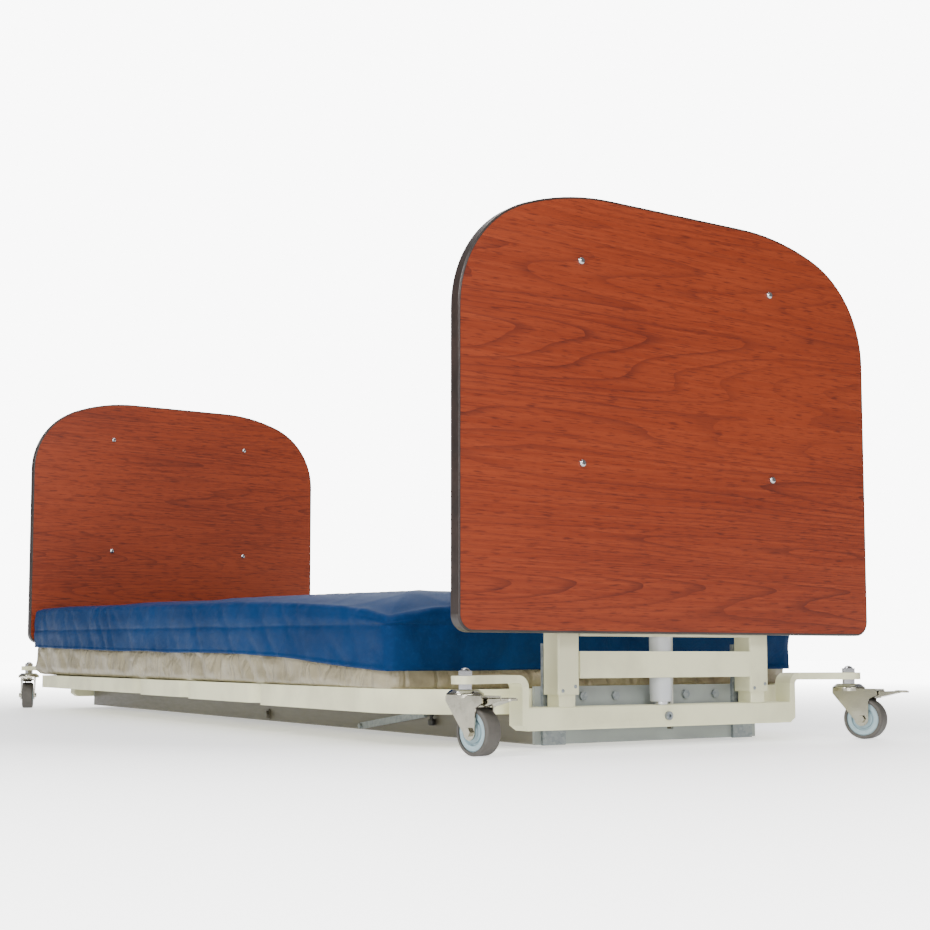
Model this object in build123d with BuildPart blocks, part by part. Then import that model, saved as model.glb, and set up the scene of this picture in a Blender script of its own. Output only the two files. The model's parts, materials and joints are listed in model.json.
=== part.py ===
from build123d import *
from math import atan2, cos, degrees, radians, sin, tan
import os

# Low-height adjustable hospital bed, millimetres.
# X runs across the bed, +Y towards the head, +Z up, origin on the floor under the bed's middle.
# Two wheeled base frames stand on the floor. The deck's sleeves climb on their posts.

# ---- driving dimensions: boards -------------------------------------------------------------
board_width = 914.4
board_bottom = 191
board_top = 925
board_thickness = 25
board_faces = {"foot": -1237, "head": 1113}
crown_radius = 496
shoulder_radius = 200
crown_sweep = 21.1
board_corner_radius = 28
edge_band = 4
edge_round = 3.2
bolt_x = 215
bolt_heights = (471, 811)
bolt_radius = 4
bolt_clearance = 0.2
bolt_head_radius = 6.5
bolt_head_height = 4.5
bolt_dome = 3.6
spacer_radius = 11

# ---- driving dimensions: towers and bases ---------------------------------------------------
tower_y = 1175
stem_x = 429
stem_y = 1212
lift_travel = 530
sleeve_size = 44
sleeve_wall = 3
sleeve_bottom = 90
sleeve_top = 880
sleeve_round = 4
glide_height = 30
upper_glide_z = 300
cover_plate = (117, 162)
brace_plate = (187, 237)
plate_outset = 21.5
plate_thickness = 3.8
top_beam_z = 846
motor_x = 46
gear_case = (719, 827)
post_size = 34
post_top = 860
crossbar_size = 38
crossbar_bottom = 32
crossbar_top = crossbar_bottom + crossbar_size
crossbar_middle = crossbar_bottom + crossbar_size / 2
leg_face_x = 307
flat_bar = 12.7
arm_top = 123
crossbar_round = 3
crossbar_wall = 3
base_chamfer = 9
bend_inner = 8
arm_reach = 26
arm_end_radius = 22
stem_radius = 6
post_wall = 2.5
tower_bolt_radius = 5
column_radius = 19.25
column_bottom = 75
column_seam = 87.6
column_top = 719.6
rod_radius = 13.5
rod_length = lift_travel + 136
rod_chamfer = 2
column_end_chamfer = 1.5
column_bore_rest = 121
column_cap_inset = 0.4
gear_case_size = (96, 56)
gear_case_round = 10
gear_case_shift = 24
lift_motor_radius = 24
lift_motor_length = 119
seat_in_case = 1
glide_round = 1.2
glide_bore_round = 1.5
glide_slack = 0.1
glide_rise = 0.5
race_radii = (28, 22)
top_beam_bore_round = 1
running = 0.06

# ---- driving dimensions: deck ---------------------------------------------------------------
deck_half_width = 457.2
deck_top = 99
deck_tube = 25
tube_wall = 2
hinge_gap = 8
back_hinge_y = 177
thigh_hinge_y = -124
knee_hinge_y = -502
upper_hinge_z = 88
knee_hinge_z = 62
back_end_y = 975
foot_end_y = -1139
foot_corner_radius = 185
section_corner_radius = 50
rail_depths = {"back": 34, "seat": 36, "thigh": 38, "calf": 41}
hinge_x = 380
drain_x = 200
drain_radius = 4
cross_bar_z = 82
cross_bar_size = (6, 23)
cross_bar_bite = 0.5
pan_drop = 5
pan_thickness = 2.5
pan_gap = 0.5
slot_pitch_x = 230
slot_rows_pitch = 110
slot_row_share = 0.6
slot_columns = 3
slot_size = (120, 22)
seat_bars = [26]
thigh_bars = [-313]
calf_bars = [-930, -720]
back_bars = [380, 580, 780]
single_lug = ((hinge_x - 3, hinge_x + 3),)
twin_lugs = ((hinge_x - 11, hinge_x - 4), (hinge_x + 4, hinge_x + 11))
pin_inner = hinge_x - 14
pin_outer = hinge_x + 12
pin_shank = 30
pin_radius = 4
pin_head_radius = 6.5
pin_head_height = 2.5
lug_radius = 7.5
frame_rail_x = 230
frame_rail_bottom = 6
frame_rail_top = 55
frame_rail_width = 40
frame_rail_wall = 2.5
beam_y = 1144
beam_thickness = 6
beam_heights = (6, 103)
beam_bolts_x = (80, 150)
beam_bolt_z = 86
beam_bolt_radius = 7
hanger_plate = {"inner": 190, "outer": 237, "bottom": 5, "top": 175}
hanger_thickness = 6
beam_bolt_height = 5.5
rail_round = 4
rail_bore_round = 1.5
pivot_washer = (13, 2.5)
pivot_head = (8.5, 9)
cable_port_z = 42
cable_port_size = (14, 8, 34)
anchor_tube = (30, 32)
brace_tube = (40, 30)
pad_length = 24
pivot_bolt = (-100, 21)
anchor_places = (-277, 277)
brace_places = (-700, 700, 1000)
anchor_z = 28
pad_places = (-103.5, 156.5)
pad_height = deck_top - rail_depths["seat"] - frame_rail_top
cable_x = 45

# ---- driving dimensions: mattress -----------------------------------------------------------
mattress_bottom = 99.5
mattress_top = 285
mattress_half_width = 455
mattress_foot_y = -1019
mattress_head_y = 1106
mattress_edge_radius = 25
mattress_corner_radius = 60
mattress_gap = 1.5

# ---- driving dimensions: section actuators --------------------------------------------------
push_height = 36
push_drop = upper_hinge_z - push_height
back_half_swing = 30
thigh_half_swing = 15
back_lever_x = -70
thigh_lever_x = 70
back_rod_rate = 56
rod_shaft_radius = 8
fork_eye_radius = 10.5
fork_cheek = 5.4
fork_mouth = 3.6
fork_throat = 24
lever_thickness = 6
lever_slack = 1
lever_eye_radius = 12
lever_root_y = 20
lever_root_size = (24, 4)
lever_slot_spare = 3
lever_slot_width = 12.4
push_pin_radius = 5
push_pin_length = 26
fork_block = (10, 20)
fork_block_set_back = 4
rod_hidden = 95
gear_box_round = 6
body_radius = 18
gear_box = 40
motor_radius = 19
motor_length = 120
motor_offset = 42
anchor_reach = 262
box_middle = (145, -560, 34)
box_size = (110, 200, 40)
box_corner = 10
box_lid_round = 3
box_flange = (14, 24)
box_socket = (24, 8, 18)
box_socket_place = (40, -6)
cable_radius = 3
cable_clip = 50
lift_lead_top = 600
lift_lead_bend = 480
lift_lead_low = 30
lift_lead_out = 56
lift_lead_inset = 10
cable_bend_share = 0.45
widest_bend = 400

# ---- driving dimensions: casters ------------------------------------------------------------
wheel_radius = 37.5
wheel_width = 30
rim_radius = 31
caster_trail = 32
swivel_radius = 30
swivel_bottom = 89
kingpin_bottom = 82.5
kingpin_radius = 11
kingpin_height = 4.5
stem_length = 52
race_bottom = 97.4
nut_bottom = 101.8
nut_radius = 10
top_nut_height = 8
pedal_reach = 115.5
axle_radius = 4
axle_nut = 6.5
fork_half_gap = 17.5
fork_plate = 2.5
fork_top = 92
pedal_pivot = (52, 84)
pivot_radius = 2.5
swivel_height = 8
swivel_round = 3
tyre_round = 4
hub_half_width = 16.5
hub_profile = ((12, 11), (12, 17), (9, 18), (9, 21), (13.2, 22), (13.2, 29))
hub_boss_radius = 8.5
rim_gap = 0.05
fork_front = ((54, fork_top), (-24, fork_top), (-24, 84), (19, 35))
fork_heel = (45, 35)
fork_back = ((46, 74), (62, 82), (62, 90), (54, fork_top))
fork_toe_drop = 13
bridge_middle = (43, fork_top - 0.5)
bridge_size = (36, 3)
axle_nut_height = 5
pedal_width = 26
pedal_eye_wall = 3
pedal_side = ((54, 80), (64, 78), (96, 86), (96, 90), (62, 88.6), (54, 89.2))
pedal_tread_z = 87
pedal_tread_root = 98
pedal_tread_radius = 12
pedal_tread_thickness = 3
pedal_ridges = (94, 99, 104, 109)
pedal_ridge_size = (2, 2.4)
pedal_ridge_width = 16
pedal_ridge_z = 90
brake_teeth = ((50, 80), (53, 76), (56, 79), (59, 75.5), (62, 79), (60, 82))
tooth_places = (-9, -3, 3)
tooth_width = 4
casters = {
    "foot_left": (-stem_x, -stem_y, 172),
    "foot_right": (stem_x, -stem_y, 161),
    "head_left": (-stem_x, stem_y, 199),
    "head_right": (stem_x, stem_y, 8),
}

ends = {"foot": -1, "head": 1}
upwards = (Align.CENTER, Align.CENTER, Align.MIN)
os.makedirs("parts", exist_ok=True)


def facing_foot(y):
    """Plane at y whose drawings read X to the right and Z up; it extrudes towards -Y."""
    return Plane(origin=(0, y, 0), x_dir=(1, 0, 0), z_dir=(0, -1, 0))


def side_on(x):
    """Plane at x whose drawings read Y to the right and Z up; it extrudes towards +X."""
    return Plane(origin=(x, 0, 0), x_dir=(0, 1, 0), z_dir=(1, 0, 0))


# ---- end boards -----------------------------------------------------------------------------
def draw_board():
    """Draws the right half of the outline, mirrors it and fills it."""
    half = board_width / 2
    spread = crown_radius * sin(radians(crown_sweep))
    spread += shoulder_radius * (1 - sin(radians(crown_sweep)))
    with BuildLine() as outline:
        top = Line((0, board_top), (half - spread, board_top))
        crown = JernArc(top @ 1, (1, 0), crown_radius, -crown_sweep)
        shoulder = JernArc(crown @ 1, crown % 1, shoulder_radius, crown_sweep - 90)
        side = Line(shoulder @ 1, (half, board_bottom + board_corner_radius))
        corner = JernArc(side @ 1, (0, -1), board_corner_radius, -90)
        Line(corner @ 1, (0, board_bottom))
        mirror(about=Plane.YZ)
    make_face(outline.edges())


def make_board(end):
    back_face = board_faces[end] + board_thickness
    with BuildPart() as panel:
        with BuildSketch(facing_foot(back_face)):
            draw_board()
            offset(amount=-edge_band, mode=Mode.REPLACE)
        extrude(amount=board_thickness)
        with Locations(facing_foot(board_faces[end])):
            with Locations([(side * bolt_x, z) for side in (-1, 1) for z in bolt_heights]):
                Hole(bolt_radius + bolt_clearance, depth=board_thickness)
    panel.part.label = f"{end}_board_panel"
    export_step(panel.part, f"parts/{end}_board_panel.step")

    with BuildPart() as band:
        with BuildSketch(facing_foot(back_face)):
            draw_board()
            offset(amount=-edge_band, mode=Mode.SUBTRACT)
        extrude(amount=board_thickness)
        outer = [face.outer_wire().edges() for face in band.faces().filter_by(Axis.Y)]
        fillet(outer[0] + outer[1], edge_round)
    band.part.label = f"{end}_board_edge"
    export_step(band.part, f"parts/{end}_board_edge.step")


def make_board_bolts():
    """Domed through-bolts with a spacer tube between each board and its sleeve."""
    with BuildPart() as bolts:
        for end, way in ends.items():
            face = board_faces[end]
            back = face + board_thickness
            sleeve_face = way * tower_y - sleeve_size / 2
            runs = ((bolt_radius, face - 1, sleeve_face), (spacer_radius, back, sleeve_face),
                    (bolt_head_radius, face - bolt_head_height, face))
            for side in (-1, 1):
                for z in bolt_heights:
                    for radius, start, stop in runs:
                        with Locations(Location((side * bolt_x, (start + stop) / 2, z), (90, 0, 0))):
                            Cylinder(radius, stop - start)
        circles = bolts.edges().filter_by(GeomType.CIRCLE)
        rims = [edge for edge in circles if abs(edge.radius - bolt_head_radius) < running]
        fronts = [face - bolt_head_height for face in board_faces.values()]
        outer_rims = [edge for edge in rims if min(abs(edge.center().Y - y) for y in fronts) < running]
        fillet(outer_rims, bolt_dome)
    bolts.part.label = "board_bolts"
    export_step(bolts.part, "parts/board_bolts.step")


# ---- wheeled bases --------------------------------------------------------------------------
def make_base_frame(end):
    """Square crossbar with a bent flat bar at each side that reaches out to the caster stem."""
    way = ends[end]
    y = way * tower_y
    with BuildPart() as frame:
        with BuildSketch(Plane.YZ.offset(flat_bar - leg_face_x)):
            with Locations((y, crossbar_middle)):
                RectangleRounded(crossbar_size, crossbar_size, crossbar_round)
                bore = crossbar_size - 2 * crossbar_wall
                RectangleRounded(bore, bore, crossbar_round / 3, mode=Mode.SUBTRACT)
        extrude(amount=2 * (leg_face_x - flat_bar))
        with BuildSketch(facing_foot(y + crossbar_size / 2)):
            inner_x = leg_face_x - flat_bar
            with BuildLine():
                outer_bend = bend_inner + flat_bar
                low = Polyline((leg_face_x, arm_top - flat_bar - bend_inner),
                               (leg_face_x, crossbar_bottom + base_chamfer),
                               (inner_x, crossbar_bottom), (inner_x, arm_top - outer_bend))
                bend = JernArc(low @ 1, (0, 1), outer_bend, -90)
                out = Polyline(bend @ 1, (leg_face_x + arm_reach, arm_top),
                               (leg_face_x + arm_reach, arm_top - flat_bar),
                               (leg_face_x + bend_inner, arm_top - flat_bar))
                JernArc(out @ 1, (-1, 0), bend_inner, 90)
            make_face()
            mirror(about=Plane.YZ)
        extrude(amount=crossbar_size)
        for side in (-1, 1):
            with BuildSketch(Plane.XY.offset(arm_top - flat_bar)):
                with Locations((side * (leg_face_x + arm_reach - bend_inner), y)):
                    Rectangle(2 * bend_inner, crossbar_size)
                with Locations((side * stem_x, way * stem_y)):
                    Circle(arm_end_radius)
                make_hull()
                with Locations((side * stem_x, way * stem_y)):
                    Circle(stem_radius + 0.1, mode=Mode.SUBTRACT)
            extrude(amount=flat_bar)
        with Locations((0, y, crossbar_top)):
            Hole(rod_radius + 1, depth=2 * crossbar_wall)
        with Locations(facing_foot(y - crossbar_size / 2)):
            with Locations((0, crossbar_middle)):
                Hole(tower_bolt_radius + 0.1, depth=crossbar_size)
    frame.part.label = f"{end}_base_frame"
    export_step(frame.part, f"parts/{end}_base_frame.step")


def draw_square_tubes(y, size, wall, radius):
    """Sections of the two upright tubes of a tower, centred on the board bolts."""
    with Locations((-bolt_x, y), (bolt_x, y)):
        RectangleRounded(size, size, radius)
        RectangleRounded(size - 2 * wall, size - 2 * wall, 1, mode=Mode.SUBTRACT)


def make_posts(end):
    with BuildPart() as posts:
        with BuildSketch(Plane.XY.offset(crossbar_top)):
            draw_square_tubes(ends[end] * tower_y, post_size, post_wall, 2)
        extrude(amount=post_top - crossbar_top)
    posts.part.label = f"{end}_inner_posts"
    export_step(posts.part, f"parts/{end}_inner_posts.step")


def make_lift_rod(end):
    """Steel push rod that stands in the crossbar on its cross bolt."""
    y = ends[end] * tower_y
    with BuildPart() as rod:
        with Locations((0, y, crossbar_bottom + 4)):
            Cylinder(rod_radius, rod_length, align=(Align.CENTER, Align.CENTER, Align.MIN))
        chamfer(rod.edges().sort_by(Axis.Z)[-1], rod_chamfer)
        with Locations(facing_foot(y - rod_radius)):
            with Locations((0, crossbar_middle)):
                Hole(tower_bolt_radius + 0.1, depth=2 * rod_radius)
    rod.part.label = f"{end}_lift_rod"
    export_step(rod.part, f"parts/{end}_lift_rod.step")


def make_lift_pin(end):
    """Cross bolt through crossbar and rod, round socket head outboard, thin nut inboard."""
    way = ends[end]
    y = way * tower_y
    outer = y + way * crossbar_size / 2
    inner = y - way * crossbar_size / 2
    head_height = 5
    with BuildPart() as pin:
        with Locations(Location((0, y, crossbar_middle), (90, 0, 0))):
            Cylinder(tower_bolt_radius, crossbar_size)
        with Locations(Location((0, outer + way * head_height / 2, crossbar_middle), (90, 0, 0))):
            Cylinder(1.5 * tower_bolt_radius, head_height)
        with BuildSketch(facing_foot(outer + way * head_height)):
            with Locations((0, crossbar_middle)):
                RegularPolygon(3.4, 6)
        extrude(amount=way * 3, mode=Mode.SUBTRACT)
        with BuildSketch(facing_foot(inner)):
            with Locations((0, crossbar_middle)):
                RegularPolygon(1.7 * tower_bolt_radius, 6, major_radius=False)
        extrude(amount=way * head_height)
    pin.part.label = f"{end}_lift_pin"
    export_step(pin.part, f"parts/{end}_lift_pin.step")


def make_stems(end):
    """Caster stems: kingpin head, shank, race cap, hex nut under the arm and dome nut on top."""
    way = ends[end]
    cup_height = nut_bottom - race_bottom
    with BuildPart() as stems:
        for side in (-1, 1):
            spot = (side * stem_x, way * stem_y)
            with Locations((*spot, kingpin_bottom)):
                Cylinder(kingpin_radius, kingpin_height, align=upwards)
                Cylinder(stem_radius, stem_length, align=upwards)
            with Locations((*spot, race_bottom)):
                Cone(*race_radii, cup_height, align=upwards)
            with BuildSketch(Plane.XY.offset(nut_bottom)):
                with Locations(spot):
                    RegularPolygon(nut_radius, 6, major_radius=False)
            extrude(amount=arm_top - flat_bar - nut_bottom)
            with BuildSketch(Plane.XY.offset(arm_top)):
                with Locations(spot):
                    RegularPolygon(nut_radius + 0.5, 6, major_radius=False)
            extrude(amount=top_nut_height)
            with Locations((*spot, arm_top + top_nut_height)):
                Sphere(nut_radius, arc_size1=0)
    stems.part.label = f"{end}_caster_stems"
    export_step(stems.part, f"parts/{end}_caster_stems.step")


# ---- towers that carry the deck -------------------------------------------------------------
def make_sleeves(end):
    y = ends[end] * tower_y
    with BuildPart() as sleeves:
        with BuildSketch(Plane.XY.offset(sleeve_bottom)):
            draw_square_tubes(y, sleeve_size, sleeve_wall, sleeve_round)
        extrude(amount=sleeve_top - sleeve_bottom)
        with BuildSketch(Plane.XY.offset(sleeve_top)):
            with Locations((-bolt_x, y), (bolt_x, y)):
                RectangleRounded(sleeve_size, sleeve_size, sleeve_round)
        extrude(amount=sleeve_wall)
    sleeves.part.label = f"{end}_sleeves"
    export_step(sleeves.part, f"parts/{end}_sleeves.step")


def make_glides():
    """Plastic slide bushes, two in each sleeve, that run on the posts."""
    outer = sleeve_size - 2 * sleeve_wall - glide_slack
    with BuildPart() as glides:
        for way in ends.values():
            for z in (sleeve_bottom + glide_rise, upper_glide_z):
                with BuildSketch(Plane.XY.offset(z)):
                    with Locations((-bolt_x, way * tower_y), (bolt_x, way * tower_y)):
                        RectangleRounded(outer, outer, glide_round)
                        inner = post_size + 2 * running
                        RectangleRounded(inner, inner, glide_bore_round, mode=Mode.SUBTRACT)
                extrude(amount=glide_height)
    glides.part.label = "sleeve_glides"
    export_step(glides.part, "parts/sleeve_glides.step")


def make_crossplates(end):
    """Outboard cover plate, the brace above it and the top beam that carries the motor."""
    way = ends[end]
    y = way * tower_y
    half = bolt_x - sleeve_size / 2
    with BuildPart() as plates:
        for low, high in (cover_plate, brace_plate):
            with Locations((0, way * (tower_y + plate_outset), (low + high) / 2)):
                Box(2 * half, plate_thickness, high - low)
        with BuildSketch(Plane.YZ.offset(-half)):
            with Locations((y, top_beam_z)):
                RectangleRounded(crossbar_size, crossbar_size, crossbar_round)
                bore = crossbar_size - 2 * post_wall
                RectangleRounded(bore, bore, top_beam_bore_round, mode=Mode.SUBTRACT)
        extrude(amount=2 * half)
    plates.part.label = f"{end}_crossplates"
    export_step(plates.part, f"parts/{end}_crossplates.step")


def make_lift_tube(end):
    """Actuator column: guide tube with seamed end cap, gear case and motor under the top beam."""
    y = ends[end] * tower_y
    bore_end = top_beam_z - crossbar_size / 2 - column_bore_rest
    with BuildPart() as tube:
        with Locations((0, y, column_seam)):
            Cylinder(column_radius, column_top - column_seam, align=upwards)
        with Locations((0, y, column_bottom)):
            Cylinder(column_radius - column_cap_inset, column_seam - column_bottom + column_cap_inset,
                     align=upwards)
        chamfer(tube.edges().sort_by(Axis.Z)[0], column_end_chamfer)
        with BuildSketch(Plane.XY.offset(gear_case[0])):
            with Locations((motor_x - gear_case_shift, y)):
                RectangleRounded(*gear_case_size, gear_case_round)
        extrude(amount=gear_case[1] - gear_case[0])
        with Locations((motor_x, y, gear_case[0] - lift_motor_length)):
            Cylinder(lift_motor_radius, lift_motor_length + seat_in_case, align=upwards)
        with Locations((0, y, column_bottom)):
            Cylinder(rod_radius + running, bore_end - column_bottom, align=upwards, mode=Mode.SUBTRACT)
    tube.part.label = f"{end}_lift_tube"
    export_step(tube.part, f"parts/{end}_lift_tube.step")


def make_hanger_plates():
    """Galvanised plates welded inboard of the sleeves, with the hex bolts of the end beams."""
    middle = (hanger_plate["inner"] + hanger_plate["outer"]) / 2
    width = hanger_plate["outer"] - hanger_plate["inner"]
    height = hanger_plate["top"] - hanger_plate["bottom"]
    beam_face = beam_y + beam_thickness / 2
    with BuildPart() as plates:
        for way in ends.values():
            for side in (-1, 1):
                plate_y = way * (beam_face + hanger_thickness / 2)
                with Locations((side * middle, plate_y, hanger_plate["bottom"] + height / 2)):
                    Box(width, hanger_thickness, height)
                for x in beam_bolts_x:
                    with BuildSketch(facing_foot(way * beam_face)):
                        with Locations((side * x, beam_bolt_z)):
                            RegularPolygon(beam_bolt_radius, 6, major_radius=False)
                    extrude(amount=-way * beam_bolt_height)
    plates.part.label = "hanger_plates"
    export_step(plates.part, "parts/hanger_plates.step")


# ---- main frame under the deck --------------------------------------------------------------
def make_frame_rails():
    """Two long box rails between the towers, with the hex pivot bolt on each outer face."""
    depth = frame_rail_top - frame_rail_bottom
    middle = (frame_rail_top + frame_rail_bottom) / 2
    rail_end = beam_y - beam_thickness / 2
    with BuildPart() as rails:
        with BuildSketch(Plane.XZ.offset(-rail_end)):
            with Locations((-frame_rail_x, middle), (frame_rail_x, middle)):
                RectangleRounded(frame_rail_width, depth, rail_round)
                RectangleRounded(frame_rail_width - 2 * frame_rail_wall, depth - 2 * frame_rail_wall,
                                 rail_bore_round, mode=Mode.SUBTRACT)
        extrude(amount=2 * rail_end)
        for side in (-1, 1):
            with BuildSketch(Plane.YZ.offset(side * (frame_rail_x + frame_rail_width / 2))):
                with Locations(pivot_bolt):
                    Circle(pivot_washer[0])
            extrude(amount=side * pivot_washer[1])
            with BuildSketch(Plane.YZ.offset(side * (frame_rail_x + frame_rail_width / 2))):
                with Locations(pivot_bolt):
                    RegularPolygon(pivot_head[0], 6, major_radius=False)
            extrude(amount=side * pivot_head[1])
    rails.part.label = "frame_rails"
    export_step(rails.part, "parts/frame_rails.step")


def make_cross_members():
    """End beams, the cross tubes that anchor the actuators, and the pads under the seat."""
    inside = frame_rail_x - frame_rail_width / 2
    beam_low, beam_high = beam_heights
    with BuildPart() as members:
        for way in ends.values():
            with Locations((0, way * beam_y, (beam_low + beam_high) / 2)):
                Box(2 * (frame_rail_x + frame_rail_width / 2), beam_thickness, beam_high - beam_low)
            with Locations((cable_x, way * beam_y, cable_port_z)):
                Box(*cable_port_size, mode=Mode.SUBTRACT)
        for y in anchor_places:
            with Locations((0, y, anchor_z)):
                Box(2 * inside, *anchor_tube)
        for y in brace_places:
            with Locations((0, y, anchor_z)):
                Box(2 * inside, *brace_tube)
        for side in (-1, 1):
            for y in pad_places:
                with Locations((side * frame_rail_x, y, frame_rail_top + pad_height / 2)):
                    Box(frame_rail_width, pad_length, pad_height)
    members.part.label = "frame_cross_members"
    export_step(members.part, "parts/frame_cross_members.step")


# ---- jointed deck sections ------------------------------------------------------------------
def add_tube_loop(y0, y1, depth, foot_radius):
    """Closed loop of square-cornered tube, hollow inside, with drain holes underneath."""
    middle = (y0 + y1) / 2
    length = y1 - y0
    low = deck_top - depth
    for shrink, z, height, mode in ((0, low, depth, Mode.ADD),
                                    (tube_wall, low + tube_wall, depth - 2 * tube_wall, Mode.SUBTRACT)):
        with BuildSketch(Plane.XY.offset(z)) as ring:
            with Locations((0, middle)):
                outline = Rectangle(2 * (deck_half_width - shrink), length - 2 * shrink)
            corners = outline.vertices().group_by(Axis.Y)
            fillet(corners[0], foot_radius - shrink)
            fillet(corners[1], section_corner_radius - shrink)
            offset(amount=2 * shrink - deck_tube, mode=Mode.SUBTRACT)
        extrude(ring.sketch, amount=height, mode=mode)
    with Locations([(x, y0 + deck_tube / 2, low) for x in (-drain_x, drain_x)]):
        Cylinder(drain_radius, 2 * tube_wall, mode=Mode.SUBTRACT)


def add_cross_bars(places):
    """Flat bars on edge under the deck pan."""
    for y in places:
        with Locations((0, y, cross_bar_z)):
            Box(2 * (deck_half_width - deck_tube + cross_bar_bite), *cross_bar_size)


def add_lugs(y, z, way, lug_places):
    """Hinge lugs at both sides: a round eye on the axis and a short arm up to the tube."""
    for side in (-1, 1):
        for inner, outer in lug_places:
            with BuildSketch(side_on(side * inner)) as lug:
                with Locations((y, z)):
                    Circle(lug_radius)
                with Locations((y + way * hinge_gap / 2, z)):
                    Rectangle(hinge_gap, 2 * lug_radius)
                with Locations((y, z)):
                    Circle(pin_radius + running, mode=Mode.SUBTRACT)
            extrude(lug.sketch, amount=side * (outer - inner))


def add_lever(x, y, swing, root_low, root_way):
    """Slotted lever that hangs from a section's end tube and leans by its half swing."""
    lean = radians(swing)
    far = push_drop / cos(lean)
    way = (-root_way * sin(lean), -cos(lean))
    with BuildSketch(side_on(x - lever_thickness / 2)) as lever:
        for reach in (push_drop - lever_slack, far + lever_slack):
            with Locations((y + reach * way[0], upper_hinge_z + reach * way[1])):
                Circle(lever_eye_radius)
        with Locations((y + root_way * lever_root_y, root_low - lever_root_size[1] / 2)):
            Rectangle(*lever_root_size)
        make_hull()
        middle = (push_drop + far) / 2
        with Locations((y + middle * way[0], upper_hinge_z + middle * way[1])):
            SlotCenterToCenter(far - push_drop + lever_slot_spare, lever_slot_width,
                               rotation=degrees(atan2(way[1], way[0])), mode=Mode.SUBTRACT)
    extrude(lever.sketch, amount=lever_thickness)


def make_section(name, y0, y1, foot_radius, bar_places, fittings):
    """One deck section: its tube loop with cross bars, the lugs welded to it, and its pan."""
    with BuildPart() as loop:
        add_tube_loop(y0, y1, rail_depths[name], foot_radius)
        add_cross_bars(bar_places)
    frame = Compound(label=f"{name}_section_frame", children=[loop.part, *fittings])
    export_step(frame, f"parts/{name}_section_frame.step")
    make_pan(name, y0, y1, foot_radius)


def make_pan(name, y0, y1, foot_radius):
    """Pressed deck pan inside a section's loop, with two rows of vent slots."""
    with BuildPart() as pan:
        with BuildSketch(Plane.XY.offset(deck_top - pan_drop)):
            with Locations((0, (y0 + y1) / 2)):
                inset = deck_tube + pan_gap
                outline = Rectangle(2 * (deck_half_width - inset), y1 - y0 - 2 * inset)
            corners = outline.vertices().group_by(Axis.Y)
            fillet(corners[0], foot_radius - deck_tube)
            fillet(corners[1], section_corner_radius - deck_tube)
            rows = max(2, round((y1 - y0) / slot_rows_pitch))
            with Locations((0, (y0 + y1) / 2)):
                with GridLocations(slot_pitch_x, (y1 - y0) / (rows + slot_row_share), slot_columns, rows):
                    SlotOverall(*slot_size, mode=Mode.SUBTRACT)
        extrude(amount=pan_thickness)
    pan.part.label = f"{name}_deck_panel"
    export_step(pan.part, f"parts/{name}_deck_panel.step")


def make_sections():
    """The four deck sections, each with the hinge lugs and lever on its end tubes."""
    seat = (thigh_hinge_y + hinge_gap, back_hinge_y - hinge_gap)
    thigh = (knee_hinge_y + hinge_gap, thigh_hinge_y - hinge_gap)
    calf = (foot_end_y, knee_hinge_y - hinge_gap)
    back = (back_hinge_y + hinge_gap, back_end_y)

    with BuildPart() as seat_lugs:
        add_lugs(back_hinge_y, upper_hinge_z, -1, single_lug)
        add_lugs(thigh_hinge_y, upper_hinge_z, 1, single_lug)
    make_section("seat", *seat, section_corner_radius, seat_bars, [seat_lugs.part])

    with BuildPart() as thigh_lugs:
        add_lugs(thigh_hinge_y, upper_hinge_z, -1, twin_lugs)
        add_lugs(knee_hinge_y, knee_hinge_z, 1, single_lug)
        add_lever(thigh_lever_x, thigh_hinge_y, thigh_half_swing, deck_top - rail_depths["thigh"], -1)
    with BuildPart() as knee_pins:
        add_pins(knee_hinge_y, knee_hinge_z)
    make_section("thigh", *thigh, section_corner_radius, thigh_bars, [thigh_lugs.part, knee_pins.part])

    with BuildPart() as calf_lugs:
        add_lugs(knee_hinge_y, knee_hinge_z, -1, twin_lugs)
    make_section("calf", *calf, foot_corner_radius, calf_bars, [calf_lugs.part])

    with BuildPart() as back_lugs:
        add_lugs(back_hinge_y, upper_hinge_z, 1, twin_lugs)
        add_lever(back_lever_x, back_hinge_y, back_half_swing, deck_top - rail_depths["back"], 1)
    make_section("back", *back, section_corner_radius, back_bars, [back_lugs.part])


def add_pins(y, z):
    """Headed hinge pins through the lugs at both sides."""
    for side in (-1, 1):
        with BuildSketch(side_on(side * pin_inner)) as shank:
            with Locations((y, z)):
                Circle(pin_radius)
        extrude(shank.sketch, amount=side * pin_shank)
        for inner in (pin_inner, pin_outer):
            with BuildSketch(side_on(side * inner)) as head:
                with Locations((y, z)):
                    Circle(pin_head_radius)
            extrude(head.sketch, amount=side * pin_head_height)


def make_hinge_pins():
    with BuildPart() as pins:
        add_pins(back_hinge_y, upper_hinge_z)
        add_pins(thigh_hinge_y, upper_hinge_z)
    pins.part.label = "hinge_pins"
    export_step(pins.part, "parts/hinge_pins.step")


# ---- mattress -------------------------------------------------------------------------------
def make_mattress(name, y_low, y_high, top_low, top_high, corner_edges):
    """One foam block per section; the ends at a hinge lean back so the bed can fold."""
    with BuildPart() as block:
        with BuildSketch(side_on(-mattress_half_width)):
            with BuildLine():
                Polyline((y_low, mattress_bottom), (y_high, mattress_bottom),
                         (top_high, mattress_top), (top_low, mattress_top), close=True)
            make_face()
        extrude(amount=2 * mattress_half_width)
        long_edges = block.edges().filter_by(Axis.Y).group_by(Axis.Z)[-1]
        fillet(long_edges, mattress_edge_radius)
        if corner_edges is not None:
            upright = block.edges().filter_by(Axis.Z).group_by(Axis.Y)[corner_edges]
            fillet(upright, mattress_corner_radius)
    block.part.label = f"mattress_{name}"
    export_step(block.part, f"parts/mattress_{name}.step")


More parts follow.
